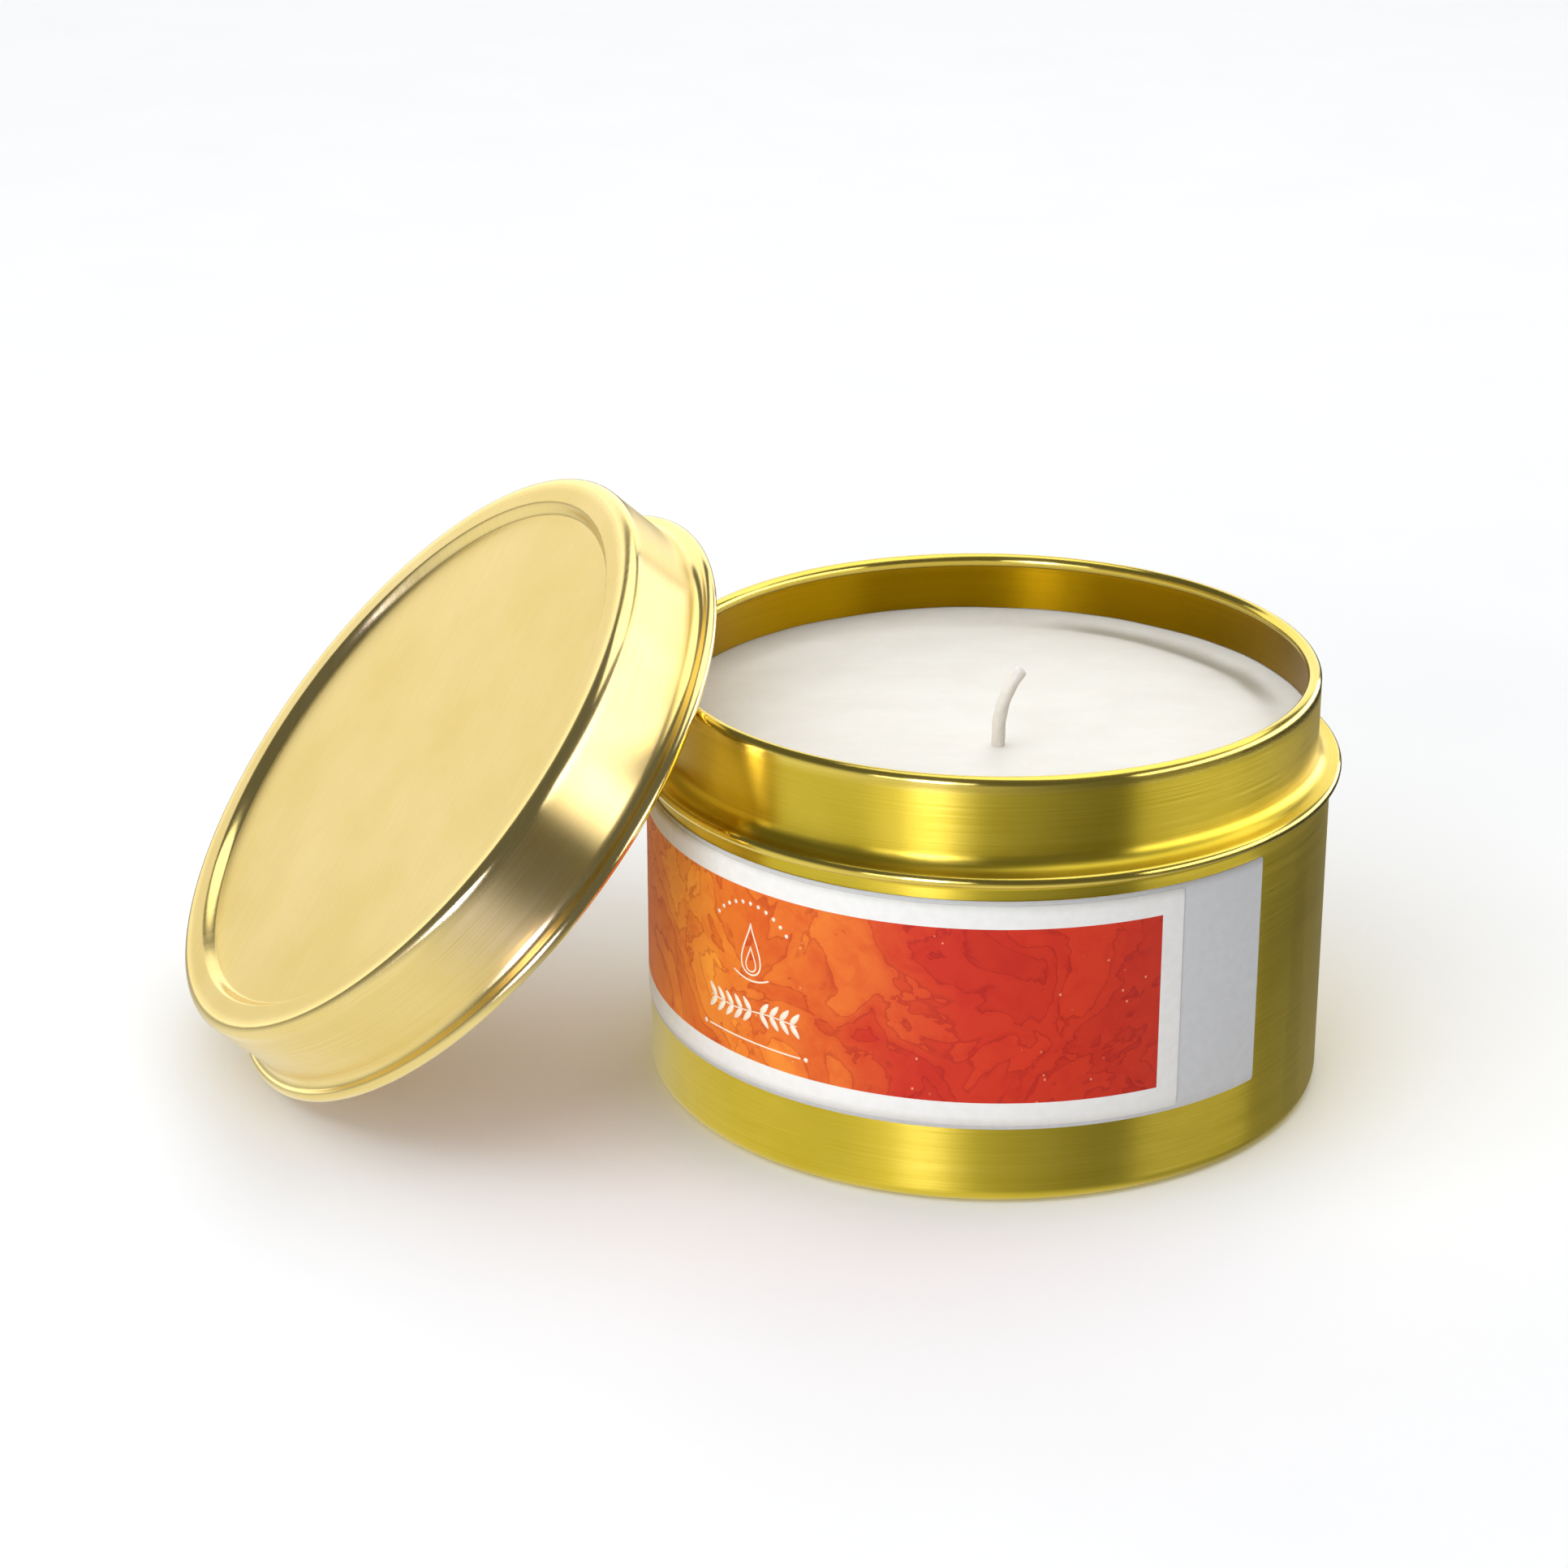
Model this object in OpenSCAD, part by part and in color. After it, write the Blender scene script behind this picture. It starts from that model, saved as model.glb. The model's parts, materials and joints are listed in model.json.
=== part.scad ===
// Candle tin: a pressed round tin of wax with a wick, a two-layer wrap label and a slip lid.
// The lid is off and leans against the tin's rim on its -X side, with its lower edge on the table.
// Origin: centre of the tin's base, on the table. +Z is up and -Y is the label's side.

/* [Tin] */
// Outer radius of the body
body_r = 39; // [37.5:0.25:41]
// Outer radius of the neck that the lid slips over
neck_r = 37.5; // [36.5:0.25:38]
// Outer radius of the bead below the neck
bead_r = 40.2; // [39.8:0.1:42]
// Height of the rim above the table
rim_z = 49.3; // [46:0.1:56]
// Height of the ledge that the closed lid rests on
ledge_z = 39.05; // [36:0.05:40]
// Thickness of the bead
bead_h = 1.3; // [1.1:0.1:2]
// Thickness of the tinplate, in the tin and in the lid
wall = 0.35; // [0.25:0.05:0.5]
// Radius of the rolled rim's section
roll_r = 0.8; // [0.6:0.05:1]
// Outer radius of the corner at the base
base_corner_r = 1.5; // [1:0.1:3]

/* [Lid] */
// Outer radius of the lid's skirt
skirt_r = 38.4; // [38.2:0.1:39]
// Outer radius of the flange at the lid's mouth
flange_r = 40.3; // [39.9:0.1:41]
// Thickness of the flange
flange_h = 1.5; // [1.2:0.1:2]
// Height of the lid
lid_h = 12.1; // [11.8:0.1:14]
// Outer radius of the corner between skirt and top
lid_corner_r = 1.3; // [0.8:0.1:2]
// Outer radius of the sunk panel in the lid's top
panel_r = 34.7; // [30:0.1:35.5]
// Depth of the sunk panel
panel_depth = 1.2; // [0.6:0.1:1.3]

/* [Leaning lid] */
// Angle between the lid's axis and the vertical
lid_tilt = 47.5; // [40:0.1:50]
// Direction that the lid's top faces, counted from +X towards +Y
lid_turn = 198; // [190:0.1:206]
// Distance of the lid's centre from the tin's axis, along that direction
lid_reach = 55.1; // [55.1:0.1:70]
// Distance of the lid's centre to the side of the tin's axis
lid_side = -22.4; // [-26:0.1:-15]

/* [Candle] */
// Height of the wax's surface at the tin's wall
wax_z = 42.3; // [36:0.1:44]
// Drop from the wall to the flat of the wax's surface
wax_dish = 0.6; // [0.2:0.1:1.5]
// Radius of the wick
wick_r = 0.8; // [0.5:0.05:1.2]
// Height of the wick above the flat of the wax
wick_out = 9.9; // [6:0.1:14]
// Place of the wick from the tin's axis
wick_at = [0.6, -9.5];
// Lean of the wick's free end
wick_lean = 38; // [5:1:40]
// Radius of the sustainer's plate
sustainer_r = 8; // [6:0.5:12]
// Height of the sustainer's collar
collar_h = 5; // [3:0.5:8]
// Radius of the adhesive disc under the sustainer
sticker_r = 9.5; // [6:0.5:12]

/* [Label] */
// Height of the label's lower edge
label_z = 9.15; // [4:0.05:12]
// Height of the label
label_h = 26.9; // [20:0.1:27]
// Direction of the label's right edge, counted from +X towards +Y
label_right = -43; // [-90:1:-20]
// Direction of the label's middle
label_middle = -134; // [-150:1:-90]
// Angle between the right edges of the stock and of the printed layer
print_inset_a = 17.2; // [4:0.1:30]
// Margin between the upper and lower edges of the stock and of the printed layer
print_inset_z = 0.5; // [0.2:0.1:3]
// Thickness of each layer of the label
label_t = 0.12; // [0.08:0.01:0.2]

/* [Hidden] */
$fn = 192;

ledge_fillet_r = 1.6;          // hollow between neck and ledge
bead_edge_r = 0.48 * bead_h;   // rounded edge of the bead
under_fillet_r = 0.5;          // hollow between body and bead
base_ring_r = 33;              // inner radius of the stiffening groove in the base
base_ring_w = 2.4;             // its width
base_ring_h = 0.5;             // its depth
flange_fillet_r = 1.1;         // hollow between skirt and flange
panel_slope = 1.4;             // width of the sloped step down to the panel
edge_r = 0.6;                  // rounding of that step's upper and lower edge
mouth_flare = 0.5;             // bevel inside the lid's mouth
play = 0.03;                   // gap between the wax and what it was poured round
lip_w = 3;                     // width of the raised edge of the wax
plate_t = 0.4;                 // sustainer's plate
sticker_t = 0.5;               // adhesive disc
collar_t = 0.4;                // wall of the sustainer's collar
wick_bend_r = 12;              // bend of the wick's free end
wick_tip_r = 0.875 * wick_r;   // radius of the bent end
wick_fn = 48;                  // facets round the bent end
wick_root_a = 2;               // angle by which the bent end starts inside the straight part
arc_n = 8;                     // steps of a rounded corner
wick_floor = wall + sticker_t + plate_t;
flat_z = wax_z - wax_dish;
label_span = 2 * (label_right - label_middle);

// n + 1 points of an arc about c, from angle a0 to angle a1
function arc(c, r, a0, a1, n = arc_n) =
    [for (i = [0:n]) let (a = a0 + (a1 - a0) * i / n) [c[0] + r * cos(a), c[1] + r * sin(a)]];

// Tin's outer side from the base's centre up to the neck's top, at a distance t inside the metal
function tin_side(t) = concat(
    [[0, t]],
    base_groove(t),
    arc([body_r - base_corner_r, base_corner_r], base_corner_r - t, -90, 0),
    arc([body_r + under_fillet_r, ledge_z - bead_h - under_fillet_r], under_fillet_r + t, 180, 90),
    arc([bead_r - bead_edge_r, ledge_z - bead_h + bead_edge_r], bead_edge_r - t, -90, 0),
    arc([bead_r - bead_edge_r, ledge_z - bead_edge_r], bead_edge_r - t, 0, 90),
    arc([neck_r + ledge_fillet_r, ledge_z + ledge_fillet_r], ledge_fillet_r + t, 270, 180));

// Stiffening groove pressed up into the base
function base_groove(t) = let (r0 = base_ring_r, r1 = base_ring_r + base_ring_w, w = base_ring_h + t)
    [[r0 - t, t], [r0 - t + base_ring_h, w], [r1 + t - base_ring_h, w], [r1 + t, t]];

// Rolled rim: a round section turned in on the neck, closed against the neck's inner face
function rim_roll() = let (bite = acos((roll_r - wall) / roll_r))
    arc([neck_r - roll_r, rim_z - roll_r], roll_r, 0, 360 - bite, 4 * arc_n);

// Lid's outer side from the flange to the panel's centre, at a distance t inside the metal.
// The lid stands on its mouth at z = 0.
function lid_side_line(t) = let (
        s0 = panel_r,
        s1 = panel_r - panel_slope,
        low = lid_h - panel_depth)
    concat(
    arc([skirt_r + flange_fillet_r, flange_h + flange_fillet_r], flange_fillet_r + t, 270, 180),
    arc([skirt_r - lid_corner_r, lid_h - lid_corner_r], lid_corner_r - t, 0, 90),
    [[s0 + t, lid_h - t], [s0 - edge_r / 2 + t / 2, lid_h - t - edge_r / 4],
     [s1 + edge_r / 2 + t / 2, low - t + edge_r / 4], [s1, low - t], [0, low - t]]);

// Puts what is drawn on the lid's axis, mouth at z = 0, where the lid leans
module lean_lid() {
    edge = flange_h / 2;
    centre_z = (flange_r - edge) * sin(lid_tilt) + edge * (1 - cos(lid_tilt));
    translate([0, 0, centre_z])
        rotate([0, 0, lid_turn])
            translate([lid_reach, lid_side, 0])
                rotate([0, lid_tilt, 0])
                    children();
}

// The seamless tin: base, body, bead, neck and rolled rim in one sheet of metal
module tin_body() {
    inner = tin_side(wall);
    color("goldenrod") rotate_extrude()
        polygon(concat(
            tin_side(0),
            rim_roll(),
            [for (i = [len(inner) - 1:-1:0]) inner[i]]));
}

// Wax poured round the wick's foot, with a low lip where it clings to the wall
module wax_fill() {
    r_neck = neck_r - wall - play;
    color("ivory") difference() {
        rotate_extrude()
            polygon(concat(
                tin_side(wall + play),
                [for (i = [0:arc_n]) let (u = i / arc_n)
                    [r_neck - lip_w * u, flat_z + wax_dish * (1 - u) * (1 - u)]],
                [[0, flat_z]]));
        translate([wick_at[0], wick_at[1], 0]) {
            cylinder(r = wick_r + play, h = rim_z);
            cylinder(r = sticker_r + play, h = wall + sticker_t + play);
            cylinder(r = sustainer_r + play, h = wick_floor + play);
            cylinder(r = wick_r + collar_t + play, h = wick_floor + collar_h + play);
        }
    }
}

// Cotton wick, straight through the wax and bent over at its free end
module wick() {
    bend_z = flat_z + wick_out - wick_bend_r * sin(wick_lean);
    color("linen") translate([wick_at[0], wick_at[1], 0]) {
        translate([0, 0, wick_floor]) cylinder(r = wick_r, h = bend_z - wick_floor);
        translate([wick_bend_r, 0, bend_z]) rotate([90, 0, 0])
            rotate([0, 0, 180 - wick_lean])
                rotate_extrude(angle = wick_lean + wick_root_a)
                    translate([wick_bend_r, 0]) circle(r = wick_tip_r, $fn = wick_fn);
    }
}

// Metal foot that holds the wick upright: a plate with a crimped collar
module wick_sustainer() {
    color("silver") translate([wick_at[0], wick_at[1], wall + sticker_t]) difference() {
        union() {
            cylinder(r = sustainer_r, h = plate_t);
            cylinder(r = wick_r + collar_t, h = plate_t + collar_h);
        }
        translate([0, 0, plate_t]) cylinder(r = wick_r, h = collar_h + plate_t);
    }
}

// Double-sided adhesive disc between the sustainer and the tin's base
module sustainer_sticker() {
    color("white") translate([wick_at[0], wick_at[1], wall])
        cylinder(r = sticker_r, h = sticker_t);
}

// One layer of the label, from radius r, with its edges brought in by the given amounts
module label_layer(r, in_a, in_z) {
    rotate([0, 0, label_right - in_a - (label_span - 2 * in_a)])
        rotate_extrude(angle = label_span - 2 * in_a)
            translate([r, label_z + in_z]) square([label_t, label_h - 2 * in_z]);
}

// Plain white stock stuck to the body
module label_stock() {
    color("whitesmoke") label_layer(body_r, 0, 0);
}

// Printed layer laid on the stock
module printed_label() {
    color("orangered") label_layer(body_r + label_t, print_inset_a, print_inset_z);
}

// The slip lid: flange, skirt, rounded corner and sunk panel in one sheet of metal
module lid() {
    inner = lid_side_line(wall);
    edge = flange_h / 2;
    color("khaki") lean_lid() rotate_extrude()
        polygon(concat(
            [[skirt_r - wall + mouth_flare, 0]],
            arc([flange_r - edge, edge], edge, -90, 90, 2 * arc_n),
            lid_side_line(0),
            [for (i = [len(inner) - 1:-1:arc_n + 1]) inner[i]],
            [[skirt_r - wall, 2 * mouth_flare]]));
}

tin_body();
wax_fill();
wick();
wick_sustainer();
sustainer_sticker();
label_stock();
printed_label();
lid();
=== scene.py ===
import json
import math

import bpy
import numpy as np
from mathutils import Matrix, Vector


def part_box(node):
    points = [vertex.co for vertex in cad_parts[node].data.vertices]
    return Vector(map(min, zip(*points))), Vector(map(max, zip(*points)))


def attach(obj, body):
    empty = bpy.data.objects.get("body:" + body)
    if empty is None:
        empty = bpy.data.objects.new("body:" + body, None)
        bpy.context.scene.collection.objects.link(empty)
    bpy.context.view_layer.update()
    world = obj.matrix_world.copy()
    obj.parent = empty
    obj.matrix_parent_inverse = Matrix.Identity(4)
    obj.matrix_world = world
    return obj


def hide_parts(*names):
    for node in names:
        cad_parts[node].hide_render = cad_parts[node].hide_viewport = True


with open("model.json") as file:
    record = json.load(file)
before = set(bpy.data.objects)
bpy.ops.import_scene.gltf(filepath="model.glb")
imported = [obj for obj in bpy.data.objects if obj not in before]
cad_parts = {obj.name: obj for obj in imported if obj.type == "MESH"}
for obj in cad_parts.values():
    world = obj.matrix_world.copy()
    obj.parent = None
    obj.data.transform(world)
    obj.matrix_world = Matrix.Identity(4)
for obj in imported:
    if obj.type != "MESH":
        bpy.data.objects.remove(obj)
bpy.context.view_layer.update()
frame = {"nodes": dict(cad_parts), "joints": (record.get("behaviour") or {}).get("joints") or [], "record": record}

MM = 0.001

# ---------------------------------------------------------------- sizes, in metres: some read from the frame, the rest given here

tin_low, tin_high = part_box("tin_body")
lid_low, lid_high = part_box("lid")
label_low, label_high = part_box("label_stock")
print_low, print_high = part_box("printed_label")
wick_low, wick_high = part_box("wick")
mounts = {m["name"]: m for m in frame["record"]["mounts"]}

NECK_R = mounts["neck"]["dims"]["r_mm"] * MM
BEAD_R = tin_high.x
RIM_Z = tin_high.z
BODY_R = 39 * MM
LEDGE_Z = 39.05 * MM
BEAD_H = 1.3 * MM
WALL = 0.35 * MM
ROLL_R = 0.8 * MM
BASE_CORNER_R = 1.5 * MM
LEDGE_FILLET_R = 1.6 * MM
BEAD_EDGE_R = 0.48 * BEAD_H
UNDER_FILLET_R = 0.5 * MM
GROOVE_R = 33 * MM
GROOVE_W = 2.4 * MM
GROOVE_H = 0.5 * MM

SKIRT_R = 38.4 * MM
FLANGE_R = 40.3 * MM
FLANGE_H = 1.5 * MM
LID_H = 12.1 * MM
LID_CORNER_R = 1.3 * MM
PANEL_R = 34.7 * MM
PANEL_SLOPE = 1.4 * MM
PANEL_DEPTH = 1.2 * MM
FLANGE_FILLET_R = 1.1 * MM
MOUTH_FLARE = 0.5 * MM

WAX_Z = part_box("wax_fill")[1].z
WAX_DISH = 0.6 * MM
WAX_R = NECK_R - WALL
LIP_W = 3 * MM
TROUGH_IN = 3.4 * MM      # from the wall to the middle of the trough in the wax
TROUGH_W = 1.5 * MM
TROUGH_A = math.radians(42)
TROUGH_SPAN = math.radians(34)
WICK_R = 0.8 * MM
WICK_X, WICK_Y = wick_low.x + WICK_R, (wick_low.y + wick_high.y) / 2
WICK_FOOT = wick_low.z
WICK_TIP_Z = wick_high.z

LABEL_T = 0.12 * MM
LABEL_MIDDLE = math.radians(-134)
LABEL_HALF = math.radians(91)
PRINT_HALF = LABEL_HALF - math.radians(17.2)

AROUND = 320             # facets round the tin and the lid


# ---------------------------------------------------------------- meshes

def mesh_object(name, points, faces, smooth=True):
    """A mesh object with its place in its mesh, from an array of points and lists of faces."""
    mesh = bpy.data.meshes.new(name)
    mesh.from_pydata(points.tolist(), [], [f for group in faces for f in group.tolist()])
    mesh.validate()
    mesh.polygons.foreach_set("use_smooth", [smooth] * len(mesh.polygons))
    mesh.update()
    made = bpy.data.objects.new(name, mesh)
    bpy.context.scene.collection.objects.link(made)
    return made


def set_uv(made, uv, name="UVMap"):
    """Gives each face corner the pair that its vertex has in uv."""
    layer = made.data.uv_layers.new(name=name)
    index = np.empty(len(made.data.loops), np.int32)
    made.data.loops.foreach_get("vertex_index", index)
    layer.data.foreach_set("uv", uv[index].astype(np.float32).ravel())


def arc(centre, radius, start, end, count=10):
    """Points of a circle's arc: centre plus radius times (cos a, sin a), a running from start to end degrees."""
    a = np.radians(np.linspace(start, end, count + 1))
    return np.stack([centre[0] + radius * np.cos(a), centre[1] + radius * np.sin(a)], 1)


def supported(outline, margin=0.08 * MM, longest=1.2 * MM):
    """The outline with a point just inside both ends of each long line, and long lines cut evenly,
    so that rounded corners shade as corners and flats stay flat."""
    kept = []
    for a, b in zip(outline[:-1], outline[1:]):
        length = np.hypot(*(b - a))
        kept.append(a[None])
        if length > 4 * margin:
            cuts = np.linspace(margin, length - margin, 2 + int(length / longest))
            kept.append(a + (b - a) * (cuts / length)[:, None])
    kept.append(outline[-1:])
    return np.concatenate(kept)


def turn(name, outline, around=AROUND):
    """A closed solid of revolution: each outline point (r, z) becomes the ring (r cos a, r sin a, z).
    An outline that starts and ends on the axis closes there with a fan of triangles."""
    a = np.linspace(0, 2 * np.pi, around, endpoint=False)
    ring = outline[1:-1]
    rows = len(ring)
    xy = ring[:, None, 0, None] * np.stack([np.cos(a), np.sin(a)], 1)[None]
    z = np.broadcast_to(ring[:, None, 1, None], (rows, around, 1))
    points = np.concatenate([np.concatenate([xy, z], 2).reshape(-1, 3),
                             [[0, 0, outline[0, 1]], [0, 0, outline[-1, 1]]]])
    i = np.arange(rows - 1)[:, None] * around
    j = np.arange(around)[None]
    k = (j + 1) % around
    quads = np.stack([i + j, i + k, i + around + k, i + around + j], 2).reshape(-1, 4)
    first, last = rows * around, rows * around + 1
    top = (rows - 1) * around
    low_fan = np.stack([np.full(around, first), k[0], j[0]], 1)
    high_fan = np.stack([np.full(around, last), top + j[0], top + k[0]], 1)
    return mesh_object(name, points, [quads, low_fan, high_fan])


def tin_outline():
    """The tin's section: up the outer side from the base's centre, over the rolled rim, and back down inside."""
    def side(t):
        g0, g1, gh = GROOVE_R, GROOVE_R + GROOVE_W, GROOVE_H + t
        return np.concatenate([
            [[0, t], [g0 - t, t], [g0 - t + GROOVE_H, gh], [g1 + t - GROOVE_H, gh], [g1 + t, t]],
            arc((BODY_R - BASE_CORNER_R, BASE_CORNER_R), BASE_CORNER_R - t, -90, 0),
            arc((BODY_R + UNDER_FILLET_R, LEDGE_Z - BEAD_H - UNDER_FILLET_R), UNDER_FILLET_R + t, 180, 90, 6),
            arc((BEAD_R - BEAD_EDGE_R, LEDGE_Z - BEAD_H + BEAD_EDGE_R), BEAD_EDGE_R - t, -90, 0, 6),
            arc((BEAD_R - BEAD_EDGE_R, LEDGE_Z - BEAD_EDGE_R), BEAD_EDGE_R - t, 0, 90, 6),
            arc((NECK_R + LEDGE_FILLET_R, LEDGE_Z + LEDGE_FILLET_R), LEDGE_FILLET_R + t, 270, 180, 12)])
    bite = math.degrees(math.acos((ROLL_R - WALL) / ROLL_R))
    roll = arc((NECK_R - ROLL_R, RIM_Z - ROLL_R), ROLL_R, 0, 360 - bite, 30)
    return supported(np.concatenate([side(0), roll, side(WALL)[::-1]]))


def lid_outline():
    """The lid's section, standing on its mouth: flange, skirt, corner and sunk panel, then the same inside.
    The step to the panel follows a cosine from the ring's level down to the panel's."""
    def side(t):
        u = np.linspace(0, 1, 15)[:, None]
        step_r = PANEL_R + t - (PANEL_SLOPE + t * 0.8) * u
        step_z = LID_H - t - PANEL_DEPTH * (1 - np.cos(np.pi * u)) / 2
        return np.concatenate([
            arc((SKIRT_R + FLANGE_FILLET_R, FLANGE_H + FLANGE_FILLET_R), FLANGE_FILLET_R + t, 270, 180, 10),
            arc((SKIRT_R - LID_CORNER_R, LID_H - LID_CORNER_R), LID_CORNER_R - t, 0, 90, 12),
            np.concatenate([step_r, step_z], 1),
            [[0, LID_H - t - PANEL_DEPTH]]])
    edge = FLANGE_H / 2
    inner = side(WALL)[::-1]
    inner = inner[:len(inner) - 11]
    mouth = np.array([[SKIRT_R - WALL, 2 * MOUTH_FLARE], [SKIRT_R - WALL + MOUTH_FLARE, 0]])
    flange = arc((FLANGE_R - edge, edge), edge, -90, 90, 16)
    return supported(np.concatenate([inner, mouth, flange, side(0)]))


def lid_pose():
    """The leaning lid's axes and centre, read back from its hinge: the hinge lies along the table, the lid
    leans across it, and its full swing takes it from its lean to lying on its top."""
    joint = next(j for j in frame["joints"] if j["name"] == "lid_tip")
    up = np.array([0, 0, 1.0])
    hinge = np.array(joint["axis"], float)
    across = np.cross(hinge, up)
    tilt = math.pi - math.radians(joint["range_deg"][1])
    axis = math.sin(tilt) * across + math.cos(tilt) * up
    down = math.cos(tilt) * across - math.sin(tilt) * up
    edge = FLANGE_H / 2
    centre_z = (FLANGE_R - edge) * math.sin(tilt) + edge * (1 - math.cos(tilt))
    pivot_r = SKIRT_R - LID_CORNER_R
    pivot_h = (pivot_r * math.sin(tilt) - centre_z + LID_H) / (1 + math.cos(tilt))
    centre = np.array(joint["pos_m"]) - pivot_r * down - pivot_h * axis
    return centre, axis, down, hinge


def bend_on_tin(u, v, radius):
    """A flat label point (u to the right of the label's middle, v above the table) wrapped on the tin."""
    a = LABEL_MIDDLE + u / BODY_R
    return np.stack([radius * np.cos(a), radius * np.sin(a), v], -1)


def wrapped_sheet(name, half, low, high, inner, thick, corner=0.8 * MM, across=220, up=24):
    """A thin closed sheet on the tin: a grid on the outer face and one on the inner face, joined at the edges.
    Its corners are rounded by drawing the ends of its upper and lower edges in along a quarter circle."""
    length = half * BODY_R
    s = np.linspace(-1, 1, across)
    s = np.sign(s) * (1 - (1 - np.abs(s)) ** 1.3)
    t = np.linspace(-1, 1, up)
    U, T = np.meshgrid(s * length, t, indexing="ij")
    near_end = np.clip((np.abs(U) - (length - corner)) / corner, 0, 1)
    inset = corner * (1 - np.sqrt(np.clip(1 - near_end ** 2, 0, 1)))
    V = (low + high) / 2 + T * ((high - low) / 2 - inset)
    outer = bend_on_tin(U, V, inner + thick).reshape(-1, 3)
    under = bend_on_tin(U, V, inner).reshape(-1, 3)
    i, j = np.meshgrid(np.arange(across - 1), np.arange(up - 1), indexing="ij")
    a = (i * up + j).ravel()
    face = np.stack([a, a + up, a + up + 1, a + 1], 1)
    n = across * up
    edge = np.concatenate([np.arange(across) * up, (across - 1) * up + np.arange(1, up),
                           np.arange(across - 2, -1, -1) * up + up - 1, np.arange(up - 2, 0, -1)])
    nxt = np.roll(edge, -1)
    rim = np.stack([edge, edge + n, nxt + n, nxt], 1)
    made = mesh_object(name, np.concatenate([outer, under]), [face, face[:, ::-1] + n, rim])
    uv = np.stack([U.ravel() / MM, (V.ravel() - low) / MM], 1)
    set_uv(made, np.concatenate([uv, uv]))
    return made


# ---------------------------------------------------------------- materials

def linear(hexcode):
    """An sRGB hex colour as a linear colour."""
    c = np.array([int(hexcode[i:i + 2], 16) for i in (0, 2, 4)]) / 255
    return (*np.where(c <= 0.04045, c / 12.92, ((c + 0.055) / 1.055) ** 2.4), 1.0)


class Finish:
    """A material being built: the tree, its shader and one way to add a node."""
    def __init__(self, name):
        self.material = bpy.data.materials.new(name)
        self.material.use_nodes = True
        self.tree = self.material.node_tree
        self.shader = self.tree.nodes["Principled BSDF"]

    def add(self, kind, settings=None, **inputs):
        """Adds a node, with its settings, and sets or links each named input. A number in a name picks
        an input by its place, so in0 is the first."""
        node = self.tree.nodes.new(kind)
        for key, value in (settings or {}).items():
            setattr(node, key, value)
        for key, value in inputs.items():
            place = int(key[2:]) if key[:2] == "in" and key[2:].isdigit() else key.replace("_", " ")
            self.put(node.inputs[place], value)
        return node

    def put(self, socket, value):
        if isinstance(value, bpy.types.NodeSocket):
            self.tree.links.new(value, socket)
        else:
            socket.default_value = value

    def math(self, operation, *values, clamp=False):
        """One arithmetic step on numbers or sockets."""
        node = self.add("ShaderNodeMath", {"operation": operation, "use_clamp": clamp})
        for socket, value in zip(node.inputs, values):
            self.put(socket, value)
        return node.outputs[0]

    def span(self, value, low, high, to_low=0.0, to_high=1.0, smooth=True):
        """Maps value from low..high to to_low..to_high, held at both ends."""
        kind = "SMOOTHSTEP" if smooth else "LINEAR"
        node = self.add("ShaderNodeMapRange", {"interpolation_type": kind}, Value=value)
        for name, number in (("From Min", low), ("From Max", high), ("To Min", to_low), ("To Max", to_high)):
            node.inputs[name].default_value = number
        return node.outputs["Result"]

    def mix(self, share, first, second, blend="MIX"):
        """Mixes two colours by a share from 0 to 1."""
        node = self.add("ShaderNodeMix", {"data_type": "RGBA", "blend_type": blend})
        self.put(node.inputs[0], share)
        self.put(node.inputs[6], first)
        self.put(node.inputs[7], second)
        return node.outputs[2]

    def noise(self, vector, scale, detail=2.0, roughness=0.5, distortion=0.0):
        node = self.add("ShaderNodeTexNoise", None, Vector=vector, Scale=scale, Detail=detail,
                        Roughness=roughness, Distortion=distortion)
        return node.outputs["Fac"]

    def stretched(self, vector, scale, turned=(0, 0, 0), moved=(0, 0, 0)):
        """Moves, turns and scales coordinates, for a pattern that is longer one way than the other."""
        node = self.add("ShaderNodeMapping", None, Vector=vector, Scale=scale, Rotation=turned,
                        Location=moved)
        return node.outputs[0]

    def bump(self, height, distance, strength=1.0, under=None):
        node = self.add("ShaderNodeBump", None, Height=height, Distance=distance, Strength=strength)
        if under is not None:
            self.put(node.inputs["Normal"], under)
        return node.outputs["Normal"]


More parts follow.
